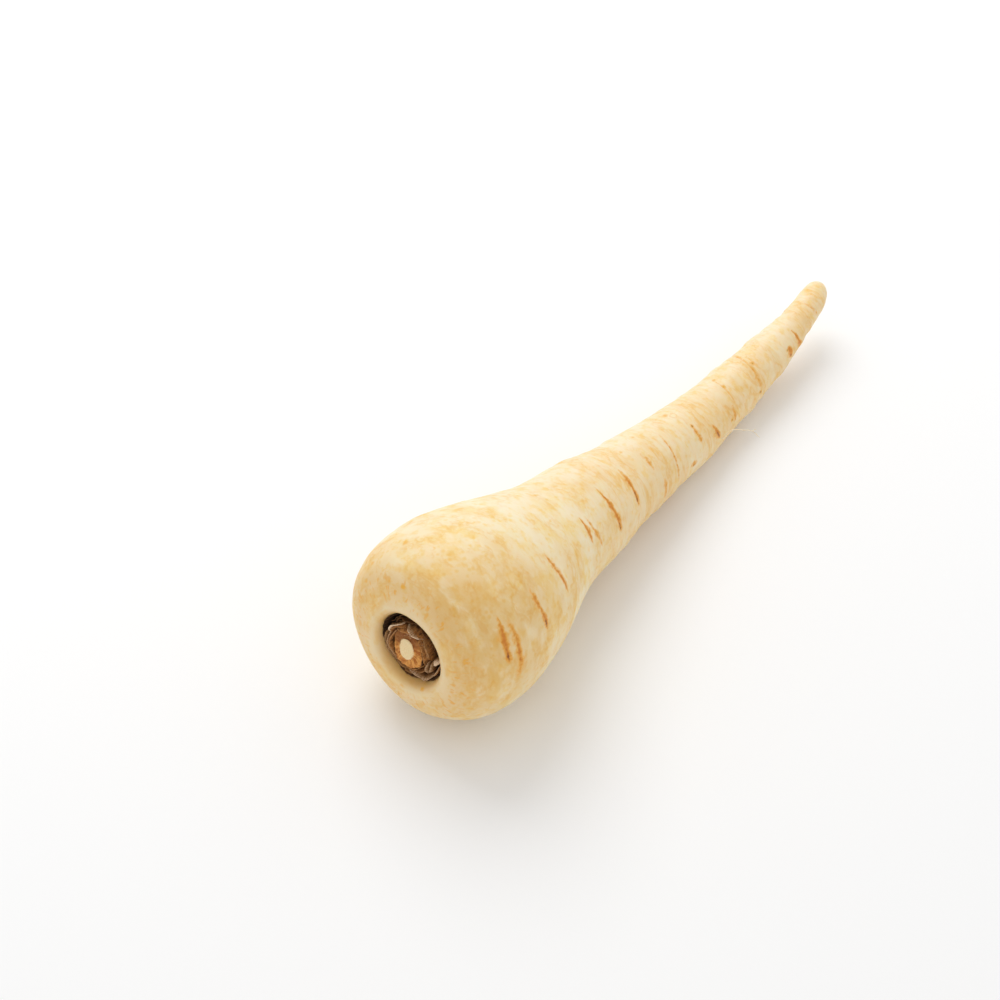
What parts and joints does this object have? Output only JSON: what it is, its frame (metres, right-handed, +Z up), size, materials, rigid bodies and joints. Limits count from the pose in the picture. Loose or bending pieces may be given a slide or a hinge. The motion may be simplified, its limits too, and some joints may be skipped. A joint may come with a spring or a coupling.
{
  "type": "parsnip",
  "caption": "Whole trimmed parsnip lying on its side: broad shoulder, crown crater with dried leaf bases and a cut stem stub, long furrowed tapering tail.",
  "frame": {"origin": "under the middle of the parsnip's footprint box, on the surface it lies on", "axes": "+X along the root from the crown to the tip, +Z up, +Y to its left"},
  "size_m": [0.2505, 0.0676, 0.0676],
  "materials": {
    "skin": "smooth, softly sheened cream root skin with ochre mottling and rusty cracks",
    "dried_sheath": "dry, matt, fibrous dark brown leaf bases with pale papery edges",
    "cut_stem": "dry cut stem, tan rind round a pale pith"
  },
  "bodies": {
    "root": {"root": "skin", "leaf_bases": "dried_sheath", "crown_stem": "cut_stem"}
  },
  "joints": []
}
